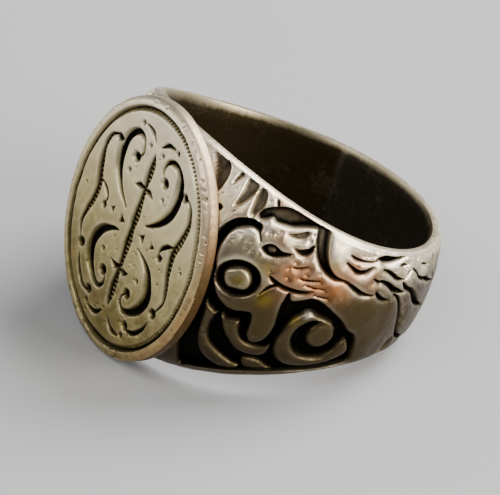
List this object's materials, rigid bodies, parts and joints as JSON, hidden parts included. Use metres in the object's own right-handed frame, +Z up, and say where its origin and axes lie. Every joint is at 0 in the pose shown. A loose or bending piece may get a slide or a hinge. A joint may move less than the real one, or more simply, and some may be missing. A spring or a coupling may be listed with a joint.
{
  "type": "signet ring",
  "caption": "Oval signet ring lying on its side: flat engraved table, carved eagle shoulders and a band that tapers to the back.",
  "frame": {"origin": "middle of the ring's bounding box in X and Y, on the surface that the ring lies on", "axes": "+Z up from that surface; -Y the way the signet table faces, tipped up 14 degrees; +X towards the right shoulder"},
  "size_m": [0.0218, 0.0242, 0.0169],
  "materials": {
    "table_silver": "worn satin silver, dark in the engraving",
    "cast_silver": "carved cast silver, black patina in the recesses and bright worn high points",
    "rolled_silver": "smooth worn silver",
    "solder_silver": "fine dull silver solder line"
  },
  "bodies": {
    "root": {"signet_table": "table_silver", "head_base": "cast_silver", "shoulder_right": "cast_silver", "shoulder_left": "cast_silver", "rear_shank": "rolled_silver", "table_solder": "solder_silver", "head_solder_right": "solder_silver", "head_solder_left": "solder_silver", "shank_solder_right": "solder_silver", "shank_solder_left": "solder_silver"}
  },
  "joints": []
}
